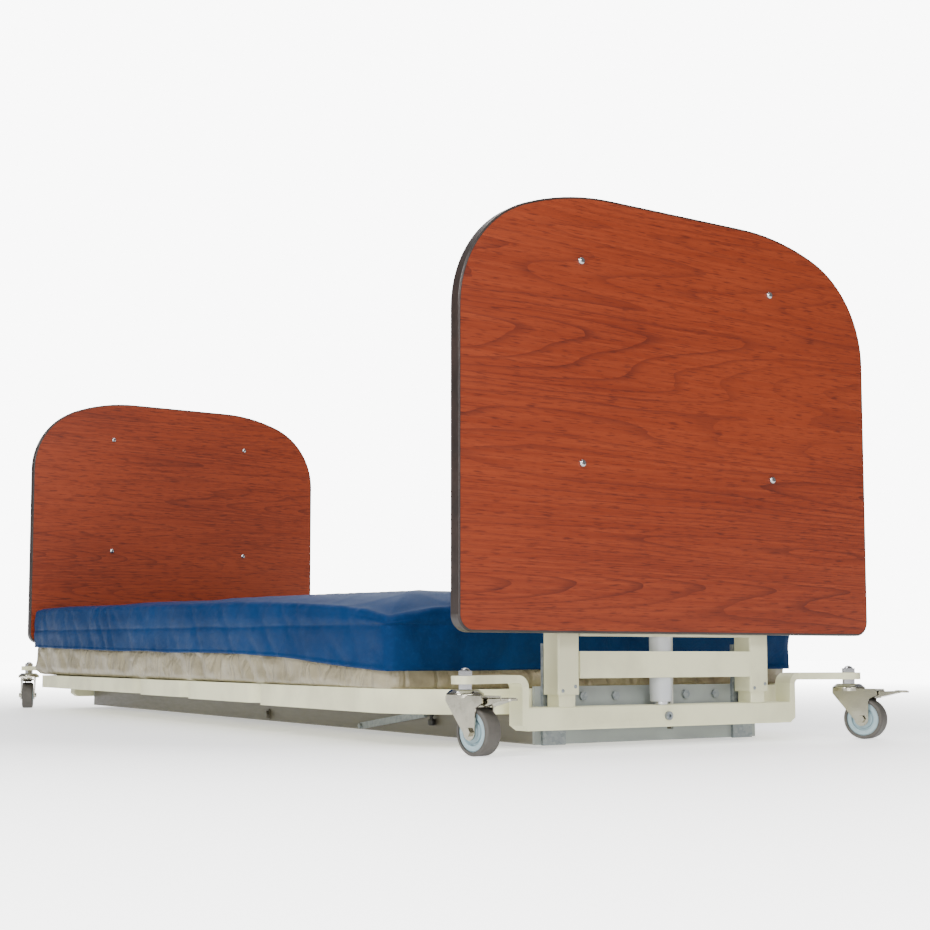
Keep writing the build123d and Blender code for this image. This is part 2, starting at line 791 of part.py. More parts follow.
def make_mattresses():
    back_lean = tan(radians(back_half_swing))
    thigh_lean = tan(radians(thigh_half_swing))
    low = mattress_bottom - upper_hinge_z
    high = mattress_top - upper_hinge_z
    gap = mattress_gap
    make_mattress("back", back_hinge_y + low * back_lean + gap, mattress_head_y,
                  back_hinge_y + high * back_lean + gap, mattress_head_y, -1)
    make_mattress("seat", thigh_hinge_y + low * thigh_lean + gap, back_hinge_y - low * back_lean - gap,
                  thigh_hinge_y + high * thigh_lean + gap, back_hinge_y - high * back_lean - gap, None)
    make_mattress("thigh", knee_hinge_y + gap, thigh_hinge_y - low * thigh_lean - gap,
                  knee_hinge_y + gap, thigh_hinge_y - high * thigh_lean - gap, None)
    make_mattress("calf", mattress_foot_y, knee_hinge_y - gap,
                  mattress_foot_y, knee_hinge_y - gap, 0)


# ---- section actuators and their wiring -----------------------------------------------------
def make_section_actuator(name, x, pin_y, way, body_start, body_end):
    """Push rod with a forked end and cross pin; tube, gear case and side motor behind it."""
    throat = pin_y - way * fork_throat
    rod_end = body_start - way * rod_hidden
    with BuildPart() as rod:
        for shift in (-fork_mouth - fork_cheek, fork_mouth):
            with BuildSketch(side_on(x + shift)):
                with Locations((pin_y, push_height), (throat, push_height)):
                    Circle(fork_eye_radius)
                make_hull()
            extrude(amount=fork_cheek)
        with Locations((x, throat - way * fork_block_set_back, push_height)):
            Box(2 * (fork_mouth + fork_cheek), *fork_block)
        with Locations(Location((x, (throat + rod_end) / 2, push_height), (90, 0, 0))):
            Cylinder(rod_shaft_radius, abs(throat - rod_end))
        with Locations(Location((x, pin_y, push_height), (0, 90, 0))):
            Cylinder(push_pin_radius, push_pin_length)
    rod.part.label = f"{name}_actuator_rod"
    export_step(rod.part, f"parts/{name}_actuator_rod.step")

    middle = (body_start + body_end) / 2
    length = abs(body_end - body_start)
    turned = (90, 0, 0)
    motor_way = 1 if x > 0 else -1
    case_y = body_end + way * gear_box / 2
    bore_length = length - gear_box / 2
    with BuildPart() as body:
        with Locations(Location((x, middle, push_height), turned)):
            Cylinder(body_radius, length)
        with Locations((x + motor_way * motor_offset / 2, case_y, push_height)):
            Box(gear_box + motor_offset + 2, gear_box, gear_box)
        fillet(body.edges().filter_by(Axis.Z), gear_box_round)
        motor_y = case_y + way * (gear_box + motor_length) / 2
        with Locations(Location((x + motor_way * motor_offset, motor_y, push_height), turned)):
            Cylinder(motor_radius, motor_length)
        with Locations(Location((x, body_start - way * bore_length / 2, push_height), turned)):
            Cylinder(rod_shaft_radius + running, bore_length, mode=Mode.SUBTRACT)
    body.part.label = f"{name}_actuator_body"
    export_step(body.part, f"parts/{name}_actuator_body.step")


def make_control_box():
    x, y, z = box_middle
    width, length, height = box_size
    with BuildPart() as box:
        with Locations(box_middle):
            Box(*box_size)
        fillet(box.edges().filter_by(Axis.Z), box_corner)
        fillet(box.edges().group_by(Axis.Z)[-1], box_lid_round)
        with Locations((x, y, z + 0.4 * height)):
            Box(width - box_flange[0], length + box_flange[1], height / 5)
        with Locations((x + box_socket_place[0], y - length / 2, z + box_socket_place[1])):
            Box(*box_socket, mode=Mode.SUBTRACT)
    box.part.label = "control_box"
    export_step(box.part, "parts/control_box.step")


def make_cables():
    """Leads clipped along the main frame, from the control box to all four actuators."""
    near = tower_y - sleeve_size / 2 - cable_radius / 2
    motor_y = tower_y - lift_lead_inset
    low = lift_lead_low
    inner = near - lift_lead_out
    clip = cable_clip
    routes = {
        "foot lift": ((motor_x, -motor_y, lift_lead_top), (motor_x, -motor_y, lift_lead_top - 60),
                      (cable_x, -near, lift_lead_bend), (cable_x, -near, low), (cable_x, -inner, low),
                      (60, -1000, 44), (100, -860, clip), (125, -760, clip), (125, -672, clip)),
        "head lift": ((motor_x, motor_y, lift_lead_top), (motor_x, motor_y, lift_lead_top - 60),
                      (cable_x, near, lift_lead_bend), (cable_x, near, low), (cable_x, inner, low),
                      (70, 1060, clip), (188, 880, clip), (188, -448, clip)),
        "back": ((112, -448, clip), (112, -385, clip), (-91, -340, clip), (-91, -262, clip)),
        "knee": ((148, -448, clip), (148, -400, clip), (172, -350, clip), (172, 242, clip),
                 (133, 242, clip)),
    }
    with BuildPart() as cables:
        for name, points in routes.items():
            corners = [Vector(*point) for point in points]
            radii = []
            for before, here, after in zip(corners, corners[1:], corners[2:]):
                turn = radians((here - before).get_angle(after - here))
                shorter = min((here - before).length, (after - here).length)
                radii.append(min(cable_bend_share * shorter / tan(turn / 2), widest_bend))
            print(name, "cable radii", [round(radius) for radius in radii])
            with BuildLine() as route:
                FilletPolyline(*points, radius=radii)
            with BuildSketch(Plane(origin=route.line @ 0, z_dir=route.line % 0)):
                Circle(cable_radius)
            sweep()
    cables.part.label = "actuator_cables"
    export_step(cables.part, "parts/actuator_cables.step")


# ---- casters --------------------------------------------------------------------------------
def make_caster(name, x, y, bearing):
    """Total-lock caster that trails towards a compass bearing counted clockwise from +Y."""
    trail = Vector(sin(radians(bearing)), cos(radians(bearing)), 0)
    across = trail.cross(Vector(0, 0, 1))
    stem = Vector(x, y, 0)
    axle = stem + trail * caster_trail + Vector(0, 0, wheel_radius)
    side_plane = Plane(origin=stem, x_dir=trail, z_dir=across)
    axle_plane = Plane(origin=axle, x_dir=across, z_dir=trail * -1)
    axle_axis = Axis(axle, across)

    with BuildPart() as tyre:
        with BuildSketch(axle_plane):
            with Locations((0, (wheel_radius + rim_radius) / 2)):
                Rectangle(wheel_width, wheel_radius - rim_radius)
            fillet(vertices().group_by(Axis.Y)[-1], tyre_round)
        revolve(axis=axle_axis)
    tyre.part.label = f"{name}_tyre"
    export_step(tyre.part, f"parts/{name}_tyre.step")

    with BuildPart() as hub:
        with BuildSketch(axle_plane):
            with BuildLine():
                half = Polyline((0, axle_radius + running), (hub_half_width, axle_radius + running),
                                (hub_half_width, hub_boss_radius), *hub_profile,
                                (hub_profile[0][0], rim_radius - rim_gap), (0, rim_radius - rim_gap))
                mirror(half, about=Plane.YZ)
            make_face()
        revolve(axis=axle_axis)
    hub.part.label = f"{name}_wheel"
    export_step(hub.part, f"parts/{name}_wheel.step")

    half_width = fork_half_gap + fork_plate
    with BuildPart() as fork:
        with Locations((x, y, swivel_bottom)):
            Cylinder(swivel_radius, swivel_height, align=upwards)
        fillet(fork.edges().group_by(Axis.Z)[-1], swivel_round)
        for inner in (-half_width, fork_half_gap):
            with BuildSketch(Plane(origin=stem + across * inner, x_dir=trail, z_dir=across)):
                with BuildLine():
                    front = Polyline(*fork_front)
                    toe = ThreePointArc(front @ 1, (caster_trail, wheel_radius - fork_toe_drop), fork_heel)
                    Polyline(toe @ 1, *fork_back)
                make_face()
                with Locations((caster_trail, wheel_radius)):
                    Circle(axle_radius + running, mode=Mode.SUBTRACT)
            extrude(amount=fork_plate)
        with BuildSketch(side_plane.offset(-half_width)):
            with Locations(bridge_middle):
                Rectangle(*bridge_size)
        extrude(amount=2 * half_width)
        with Locations((x, y, swivel_bottom)):
            Cylinder(stem_radius + running, swivel_height + 1, align=upwards, mode=Mode.SUBTRACT)
        with BuildSketch(side_plane.offset(-half_width)):
            with Locations(pedal_pivot):
                Circle(pivot_radius)
        extrude(amount=2 * half_width)
    with BuildPart() as axle_bolt:
        with BuildSketch(side_plane.offset(-half_width)):
            with Locations((caster_trail, wheel_radius)):
                Circle(axle_radius)
        extrude(amount=2 * half_width)
        for inner in (-half_width - axle_nut_height, half_width):
            with BuildSketch(side_plane.offset(inner)):
                with Locations((caster_trail, wheel_radius)):
                    RegularPolygon(axle_nut, 6, major_radius=False)
            extrude(amount=axle_nut_height)
    fork_set = Compound(label=f"{name}_fork", children=[fork.part, axle_bolt.part])
    export_step(fork_set, f"parts/{name}_fork.step")

    with BuildPart() as pedal:
        with BuildSketch(side_plane.offset(-pedal_width / 2)):
            with Locations(pedal_pivot):
                Circle(pivot_radius + pedal_eye_wall)
            with BuildLine():
                Polyline(*pedal_side, close=True)
            make_face()
            with Locations(pedal_pivot):
                Circle(pivot_radius + running, mode=Mode.SUBTRACT)
        extrude(amount=pedal_width)
        with BuildSketch(Plane.XY.offset(pedal_tread_z)):
            with Locations(Location((x, y, 0), (0, 0, 90 - bearing))):
                with Locations((pedal_tread_root, 0)):
                    Rectangle(pedal_tread_radius, 2 * pedal_tread_radius)
                with Locations((pedal_reach - pedal_tread_radius, 0)):
                    Circle(pedal_tread_radius)
            make_hull()
        extrude(amount=pedal_tread_thickness)
        for reach in pedal_ridges:
            with BuildSketch(side_plane.offset(-pedal_ridge_width / 2)):
                with Locations((reach, pedal_ridge_z)):
                    Rectangle(*pedal_ridge_size)
            extrude(amount=pedal_ridge_width)
        for tooth_place in tooth_places:
            with BuildSketch(side_plane.offset(tooth_place)):
                with BuildLine():
                    Polyline(*brake_teeth, close=True)
                make_face()
            extrude(amount=tooth_width)
    pedal.part.label = f"{name}_pedal"
    export_step(pedal.part, f"parts/{name}_pedal.step")


# ---- build everything -----------------------------------------------------------------------
for end in ends:
    make_board(end)
    make_base_frame(end)
    make_posts(end)
    make_lift_rod(end)
    make_lift_pin(end)
    make_stems(end)
    make_sleeves(end)
    make_crossplates(end)
    make_lift_tube(end)
make_board_bolts()
make_glides()
make_hanger_plates()
make_frame_rails()
make_cross_members()
make_sections()
make_hinge_pins()
make_mattresses()
back_pin_y = back_hinge_y - back_rod_rate * radians(back_half_swing)
make_section_actuator("back", back_lever_x, back_pin_y, 1, 100, -anchor_reach)
thigh_pin_y = thigh_hinge_y + push_drop * tan(radians(thigh_half_swing))
make_section_actuator("knee", thigh_lever_x, thigh_pin_y, -1, -70, anchor_reach)
make_control_box()
make_cables()
for name, (x, y, bearing) in casters.items():
    make_caster(name, x, y, bearing)
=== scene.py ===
"""Low-height adjustable hospital bed: materials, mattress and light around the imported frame."""

import json
import math

import bmesh
import bpy
import numpy as np
from mathutils import Matrix, Vector, noise


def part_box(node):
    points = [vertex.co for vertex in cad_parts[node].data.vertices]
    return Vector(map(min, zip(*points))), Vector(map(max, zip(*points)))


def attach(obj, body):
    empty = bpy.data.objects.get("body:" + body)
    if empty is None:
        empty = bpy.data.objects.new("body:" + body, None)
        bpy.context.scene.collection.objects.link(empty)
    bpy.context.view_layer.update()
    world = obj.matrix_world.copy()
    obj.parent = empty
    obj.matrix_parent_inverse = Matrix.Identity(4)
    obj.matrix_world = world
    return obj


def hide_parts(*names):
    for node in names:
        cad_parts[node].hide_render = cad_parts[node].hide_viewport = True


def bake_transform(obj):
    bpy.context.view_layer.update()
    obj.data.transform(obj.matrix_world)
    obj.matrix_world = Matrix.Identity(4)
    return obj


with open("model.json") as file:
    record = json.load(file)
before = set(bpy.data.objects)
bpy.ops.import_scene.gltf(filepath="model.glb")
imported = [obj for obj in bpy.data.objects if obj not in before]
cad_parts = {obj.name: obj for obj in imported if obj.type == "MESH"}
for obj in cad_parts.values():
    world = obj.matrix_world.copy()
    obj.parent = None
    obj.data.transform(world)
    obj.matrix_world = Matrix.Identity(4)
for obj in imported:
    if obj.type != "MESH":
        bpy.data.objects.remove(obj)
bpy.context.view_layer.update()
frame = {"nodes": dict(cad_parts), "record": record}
nodes = frame["nodes"]


# ---- shader helpers -------------------------------------------------------------------------
class Shader:
    """One Principled material, with short calls for the texture nodes that feed it."""

    def __init__(self, name, colour, roughness, metallic=0.0, **sockets):
        self.material = bpy.data.materials.new(name)
        self.material.use_nodes = True
        self.tree = self.material.node_tree
        self.bsdf = self.tree.nodes["Principled BSDF"]
        self.bsdf.inputs["Base Color"].default_value = (*colour, 1)
        self.bsdf.inputs["Roughness"].default_value = roughness
        self.bsdf.inputs["Metallic"].default_value = metallic
        for socket, value in sockets.items():
            self.bsdf.inputs[socket.replace("_", " ")].default_value = value
        self.place = self.node("ShaderNodeTexCoord").outputs["Object"]

    def node(self, kind, links=(), **settings):
        made = self.tree.nodes.new(kind)
        for key, value in settings.items():
            setattr(made, key, value)
        for socket, value in dict(links).items():
            self.feed(made.inputs[socket], value)
        return made

    def feed(self, socket, value):
        if isinstance(value, bpy.types.NodeSocket):
            self.tree.links.new(value, socket)
        else:
            socket.default_value = value

    def stretched(self, scale, turn=(0, 0, 0)):
        return self.node("ShaderNodeMapping", {"Vector": self.place, "Scale": scale,
                                               "Rotation": turn}).outputs["Vector"]

    def noise(self, place, scale, detail=4.0, roughness=0.55, distortion=0.0):
        return self.node("ShaderNodeTexNoise", {"Vector": place, "Scale": scale, "Detail": detail,
                                                "Roughness": roughness,
                                                "Distortion": distortion}).outputs["Fac"]

    def math(self, operation, first, second=0.5, third=0.0):
        made = self.node("ShaderNodeMath", {0: first, 1: second, 2: third}, operation=operation)
        return made.outputs[0]

    def remap(self, value, low, high, out_low=0.0, out_high=1.0):
        made = self.node("ShaderNodeMapRange", {"Value": value, "From Min": low, "From Max": high,
                                                "To Min": out_low, "To Max": out_high})
        return made.outputs["Result"]

    def mix(self, factor, first, second):
        made = self.node("ShaderNodeMix", data_type="RGBA")
        self.feed(made.inputs["Factor"], factor)
        for socket, value in (("A", first), ("B", second)):
            target = [i for i in made.inputs if i.name == socket and i.type == "RGBA"][0]
            self.feed(target, (*value, 1) if isinstance(value, tuple) else value)
        return [o for o in made.outputs if o.type == "RGBA"][0]

    def colour(self, value):
        self.feed(self.bsdf.inputs["Base Color"], value)

    def roughness(self, value):
        self.feed(self.bsdf.inputs["Roughness"], value)

    def bump(self, height, distance, strength=1.0):
        below = self.bsdf.inputs["Normal"]
        made = self.node("ShaderNodeBump", {"Height": height, "Distance": distance,
                                            "Strength": strength})
        if below.is_linked:
            self.tree.links.new(below.links[0].from_socket, made.inputs["Normal"])
        self.tree.links.new(made.outputs["Normal"], below)


# ---- materials ------------------------------------------------------------------------------
WOOD_WARM, WOOD_DEEP = (0.212, 0.0300, 0.0072), (0.156, 0.0200, 0.0054)
WOOD_FIBRE = (0.258, 0.0410, 0.0100)
WOOD_RING, WOOD_PORE = (0.070, 0.0080, 0.0036), (0.060, 0.0070, 0.0034)
BLUE_LIGHT, BLUE_DARK = (0.0042, 0.036, 0.122), (0.0024, 0.021, 0.078)
BLUE_SHEEN = (0.0060, 0.048, 0.160)
TAUPE_LIGHT, TAUPE_DARK = (0.36, 0.315, 0.205), (0.20, 0.172, 0.108)
BLUE_PITCH, TAUPE_PITCH = 0.0011, 0.0009


def cherry_laminate():
    """Cherry wood-grain laminate: long horizontal fibres, drawn-out cathedral figure, dark pores."""
    wood = Shader("cherry_laminate", (0.36, 0.07, 0.025), 0.36, Specular_IOR_Level=0.35)
    ripple = wood.noise(wood.stretched((5.0, 5.0, 24.0)), 1.0, 3.0, 0.5)
    field = wood.noise(wood.stretched((0.42, 1.0, 7.5)), 1.0, 1.0, 0.35, 0.06)
    field = wood.math("MULTIPLY_ADD", ripple, 0.018, field)
    rings = wood.math("FRACT", wood.math("MULTIPLY", field, 40.0), 0)
    rings = wood.math("POWER", wood.remap(rings, 0.0, 0.34, 1.0, 0.0), 1.5)
    fibres = wood.noise(wood.stretched((3.4, 3.4, 230.0)), 1.0, 5.0, 0.62)
    pores = wood.noise(wood.stretched((30.0, 30.0, 520.0)), 1.0, 2.0, 0.5)
    clouds = wood.noise(wood.stretched((0.8, 1.6, 4.2)), 1.6, 3.0)
    base = wood.mix(wood.remap(clouds, 0.3, 0.7), WOOD_WARM, WOOD_DEEP)
    base = wood.mix(wood.remap(fibres, 0.40, 0.70, 0.0, 0.8), base, WOOD_FIBRE)
    streaks = wood.math("MULTIPLY", wood.remap(fibres, 0.30, 0.55, 0.45, 0.95), rings)
    ringed = wood.math("MULTIPLY", streaks, wood.remap(clouds, 0.40, 0.60, 0.35, 0.92))
    base = wood.mix(ringed, base, WOOD_RING)
    dark = wood.math("MULTIPLY", wood.remap(pores, 0.56, 0.66), 0.75)
    wood.colour(wood.mix(dark, base, WOOD_PORE))
    wood.roughness(wood.remap(fibres, 0.2, 0.8, 0.34, 0.46))
    wood.bump(pores, 0.00012, 0.4)
    wood.bump(wood.noise(wood.stretched((1, 1, 1)), 420.0, 2.0), 0.00004, 0.4)
    return wood.material


def board_edge():
    """Dark brown moulded edge with a soft gloss and faint extrusion lines."""
    edge = Shader("board_edge_brown", (0.045, 0.018, 0.010), 0.36)
    streak = edge.noise(edge.stretched((3, 3, 3)), 6.0, 3.0)
    edge.colour(edge.mix(edge.remap(streak, 0.35, 0.7),
                         (0.026, 0.0150, 0.0115), (0.013, 0.0085, 0.0070)))
    edge.roughness(edge.remap(edge.noise(edge.place, 90.0, 3.0), 0.3, 0.7, 0.30, 0.45))
    edge.bump(edge.noise(edge.place, 260.0, 2.0), 0.00006, 0.6)
    return edge.material


def powder_coat(name, light, dark, roughness=0.42):
    """Powder coat: orange-peel skin, faint colour drift, scuffs and rubbed edges."""
    paint = Shader(name, light, roughness, Coat_Weight=0.12, Coat_Roughness=0.2)
    drift = paint.noise(paint.place, 7.0, 4.0)
    base = paint.mix(paint.remap(drift, 0.35, 0.7), light, tuple(0.9 * c for c in light))
    scuffs = paint.noise(paint.stretched((9, 9, 60)), 3.0, 6.0, 0.7)
    base = paint.mix(paint.remap(scuffs, 0.66, 0.8, 0.0, 0.35), base, dark)
    worn = paint.node("ShaderNodeNewGeometry").outputs["Pointiness"]
    edge = paint.math("MULTIPLY", paint.remap(worn, 0.53, 0.62), paint.remap(drift, 0.42, 0.62))
    paint.colour(paint.mix(paint.math("MULTIPLY", edge, 0.35), base, dark))
    paint.roughness(paint.remap(scuffs, 0.3, 0.8, roughness - 0.06, roughness + 0.14))
    paint.bump(paint.noise(paint.place, 520.0, 2.0), 0.00008, 0.5)
    paint.bump(paint.noise(paint.place, 55.0, 3.0), 0.0004, 0.12)
    return paint.material


def galvanised():
    """Galvanised sheet with small crystal spangle and rolling marks."""
    zinc = Shader("galvanised", (0.42, 0.47, 0.52), 0.38, 0.5)
    cells = zinc.node("ShaderNodeTexVoronoi", {"Vector": zinc.place, "Scale": 160.0}).outputs["Color"]
    value = zinc.node("ShaderNodeRGBToBW", {"Color": cells}).outputs["Val"]
    rolled = zinc.noise(zinc.stretched((8, 8, 140)), 1.0, 4.0)
    base = zinc.mix(zinc.remap(value, 0.2, 0.9), (0.21, 0.235, 0.25), (0.31, 0.34, 0.355))
    zinc.colour(zinc.mix(zinc.remap(rolled, 0.55, 0.75, 0.0, 0.5), base, (0.16, 0.18, 0.20)))
    zinc.roughness(zinc.remap(value, 0.0, 1.0, 0.30, 0.50))
    zinc.bump(rolled, 0.00005, 0.6)
    return zinc.material


def bright_metal(name, colour, low, high, grain=(40, 40, 400)):
    """Plated steel: fine directional grain, dull patches and faint dark specks."""
    metal = Shader(name, colour, low, 1.0)
    lines = metal.noise(metal.stretched(grain), 1.0, 4.0)
    patches = metal.noise(metal.place, 38.0, 5.0, 0.6)
    metal.colour(metal.mix(metal.remap(patches, 0.5, 0.8, 0.0, 0.5), colour,
                           tuple(0.55 * c for c in colour)))
    metal.roughness(metal.remap(patches, 0.3, 0.75, low, high))
    metal.bump(lines, 0.00004, 0.5)
    return metal.material


def moulded_plastic(name, colour, roughness, speck=0.75, grain=700.0):
    """Moulded plastic or rubber: fine spark-eroded grain, dusty patches and slight colour drift."""
    skin = Shader(name, colour, roughness)
    dust = skin.noise(skin.place, 30.0, 6.0, 0.65)
    skin.colour(skin.mix(skin.remap(dust, 0.45, 0.75), colour, tuple(speck * c for c in colour)))
    skin.roughness(skin.remap(dust, 0.3, 0.75, roughness - 0.08, roughness + 0.1))
    skin.bump(skin.noise(skin.place, grain, 2.0), 0.00006, 0.6)
    return skin.material


def weave(shader, pitch, distance):
    """Fine weave: bump from sine waves crossed in pairs, so that it shows on every side."""
    split = shader.node("ShaderNodeSeparateXYZ", {"Vector": shader.place})
    waves = []
    for axis in ("X", "Y", "Z"):
        turned = shader.math("MULTIPLY", split.outputs[axis], 2 * math.pi / pitch)
        waves.append(shader.math("SINE", turned, 0))
    crossed = shader.math("ADD", shader.math("MULTIPLY", waves[0], waves[1]),
                          shader.math("MULTIPLY", waves[1], waves[2]))
    shader.bump(crossed, distance, 0.6)


def coated_blue():
    """Stretch-coated blue cover: fine weave under a satin film, slight colour drift, creases."""
    cloth = Shader("mattress_blue", (0.012, 0.070, 0.27), 0.36, Specular_IOR_Level=0.05)
    drift = cloth.noise(cloth.stretched((3, 1.3, 3)), 2.4, 5.0, 0.6)
    base = cloth.mix(cloth.remap(drift, 0.32, 0.7), BLUE_LIGHT, BLUE_DARK)
    fine = cloth.noise(cloth.place, 150.0, 4.0)
    cloth.colour(cloth.mix(cloth.remap(fine, 0.5, 0.8, 0.0, 0.4), base, BLUE_SHEEN))
    cloth.roughness(cloth.remap(drift, 0.3, 0.7, 0.30, 0.44))
    weave(cloth, BLUE_PITCH, 0.00010)
    cloth.bump(cloth.noise(cloth.stretched((26, 9, 26)), 1.0, 6.0, 0.6), 0.0022, 0.35)
    return cloth.material


def taupe_cover():
    """Lower cover: taupe coated ticking, a little glossy, with small creases."""
    cloth = Shader("mattress_taupe", (0.46, 0.40, 0.30), 0.44, Specular_IOR_Level=0.5,
                   Coat_Weight=0.35, Coat_Roughness=0.2)
    drift = cloth.noise(cloth.stretched((5, 2.6, 8)), 3.0, 6.0, 0.62)
    cloth.colour(cloth.mix(cloth.remap(drift, 0.3, 0.72), TAUPE_LIGHT, TAUPE_DARK))
    cloth.roughness(cloth.remap(drift, 0.3, 0.7, 0.36, 0.52))
    weave(cloth, TAUPE_PITCH, 0.00008)
    ridge = cloth.math("ABSOLUTE", cloth.math("SUBTRACT", cloth.noise(
        cloth.stretched((15, 15, 7), (0.5, 0, 0)), 1.0, 3.0, 0.5, 0.5), 0.5), 0)
    cloth.bump(cloth.remap(ridge, 0.0, 0.09), 0.0070, 0.55)
    cloth.bump(cloth.noise(cloth.stretched((40, 34, 16)), 1.0, 6.0, 0.6), 0.0040, 0.5)
    return cloth.material


finishes = {
    "cherry_laminate": cherry_laminate(),
    "board_edge_brown": board_edge(),
    "cream_paint": powder_coat("cream_paint", (0.79, 0.780, 0.520), (0.42, 0.39, 0.26)),
    # grey_frame: the frame grey darkened as painted shade for the rails in shadow; beam_grey keeps the
    # lighter grey.
    "grey_frame": powder_coat("grey_frame", (0.108, 0.098, 0.074), (0.07, 0.065, 0.055), 0.36),
    "beam_grey": powder_coat("beam_grey", (0.305, 0.335, 0.330), (0.12, 0.13, 0.13), 0.34),
    "column_grey": powder_coat("column_grey", (0.58, 0.60, 0.62), (0.3, 0.31, 0.32), 0.32),
    "galvanised": galvanised(),
    "chrome_hardware": bright_metal("chrome_hardware", (0.56, 0.56, 0.57), 0.05, 0.14),
    "zinc_caster": bright_metal("zinc_caster", (0.46, 0.44, 0.36), 0.12, 0.26),
    "tyre_grey": moulded_plastic("tyre_grey", (0.085, 0.078, 0.068), 0.62),
    "wheel_plastic": moulded_plastic("wheel_plastic", (0.33, 0.45, 0.49), 0.38, 0.85),
    "black_plastic": moulded_plastic("black_plastic", (0.018, 0.018, 0.019), 0.42, 0.6),
    "white_plastic": moulded_plastic("white_plastic", (0.62, 0.61, 0.57), 0.4, 0.88),
}
# The end beam shares its CAD slot with the main frame and keeps the lighter grey; the main frame's grey
# is darkened as painted shade for its rails in shadow.
NODE_FINISH = {"frame_cross_members": "beam_grey"}


def paint_frame():
    """Gives every CAD node the procedural finish of its slot, or the one NODE_FINISH names."""
    for part in frame["record"]["subparts"]:
        slot = NODE_FINISH.get(part["node"], part["material_slot"])
        if slot in finishes:
            mesh = nodes[part["node"]].data
            mesh.materials.clear()
            mesh.materials.append(finishes[slot])


# ---- mattress -------------------------------------------------------------------------------
# Lines along the bed are listed as (y, height) pairs; all lengths are in metres.
MATTRESS_Y = (-1.019, 1.100)
MATTRESS_HALF = 0.460
EDGE_TOP = ((-1.02, 0.252), (-0.80, 0.251), (-0.60, 0.258), (-0.30, 0.266), (0.0, 0.271),
            (0.60, 0.282), (1.106, 0.293))
RIDGE = ((-1.02, 0.273), (-0.50, 0.279), (0.0, 0.285), (0.60, 0.291), (1.106, 0.297))
HEM = ((-1.02, 0.127), (-0.80, 0.138), (-0.67, 0.149), (-0.50, 0.156), (-0.30, 0.160),
       (0.07, 0.163), (0.30, 0.166), (1.106, 0.180))
SEAM = ((-1.02, 0.207), (-0.5, 0.212), (1.106, 0.226))
UNDER = ((-1.02, 0.0955), (-0.85, 0.0985), (-0.4, 0.1005), (1.106, 0.1005))
UNDER_ROUND = ((-1.02, 0.007), (-0.5, 0.010), (0.4, 0.016), (1.106, 0.022))
SMOOTHING = (-0.09, -0.045, 0.0, 0.045, 0.09)
# Top of the blue cover: the corners dip (foot -1, head 1), the middle is crowned.
CORNER_DIP = {-1: 0.028, 1: 0.006}
CORNER_SPREAD = 0.11
CROWN_REACH, CROWN_POWER = 0.20, 2.4
TOP_ROUND = 0.013
# Rings down the blue side: share of the way to the seam or the hem, and how far it stands out.
SHOULDER_RINGS = ((0.12, 0.0004), (0.25, 0.0012), (0.4, 0.0018), (0.55, 0.0020), (0.7, 0.0016),
                  (0.83, 0.0010), (0.93, 0.0003), (1.0, -0.0006))
SKIRT_RINGS = ((0.05, 0.0006), (0.14, 0.0016), (0.26, 0.0018), (0.38, 0.0016), (0.50, 0.0012),
               (0.62, 0.0010), (0.74, 0.0008), (0.84, 0.0006), (0.90, 0.0006), (0.915, 0.0013),
               (0.97, 0.0015), (1.0, 0.0009))
HEM_INSIDE, HEM_LIP, HEM_TURNED = 0.0012, 0.0004, 0.012
# Taupe cover: it starts inside the blue one, and its top lies hidden under it.
LOWER_INSET = 0.024
LOWER_TOP, LOWER_BEVEL, LOWER_SHOULDER = 0.212, 0.210, 0.198
LOWER_RINGS = 15
UNDERSIDE = 0.0997
TUCK = 0.0045
PITCH = 0.0105
FOLD_LIMIT = 0.0045
CORNER_REACH = 0.018
COVER_GAP = 0.0035
SIDE_DEPTH = 0.02
HEAD_TAPER, TAPER_START, TAPER_LENGTH = 0.009, 0.80, 0.28
FOOT_SPREAD = 0.018
# Part of a cover, y where it ends (the back one runs on to the head end), the body it keeps to,
# the body that bends it, and the stretch of y over which it bends.
BENDS = (
    ("calf", -0.3135, "thigh_section", "calf_section", (-0.352, -0.652)),
    ("thigh", 0.0263, "deck_frame", "thigh_section", (-0.029, -0.219)),
    ("back", 9.0, "deck_frame", "back_section", (0.030, 0.330)),
)


def along(points, y):
    """Height of a listed line at y, rounded off between its points by averaging."""
    ys, zs = zip(*points)
    return sum(np.interp(y + shift, ys, zs) for shift in SMOOTHING) / len(SMOOTHING)


def wobble(points, scale, seed):
    """Smooth repeatable noise, about -1 to 1, with its own scale along each axis."""
    moved = np.asarray(points) * np.asarray(scale) + seed * np.array([3.7, 1.3, 2.1])
    return np.array([noise.noise(Vector(p)) for p in moved])


def creases(points, scale, seed, sharp=2.5):
    """Ridged noise: 1 along thin winding lines, falling to 0 between them."""
    return np.clip(1 - 2.2 * np.abs(wobble(points, scale, seed)), 0, 1) ** sharp


def leaning(points, lean):
    """The points sheared along y by lean for each metre of height, so that folds run slanted."""
    return points @ np.array([[1, 0, 0], [0, 1, 0.0], [0, lean, 1]])


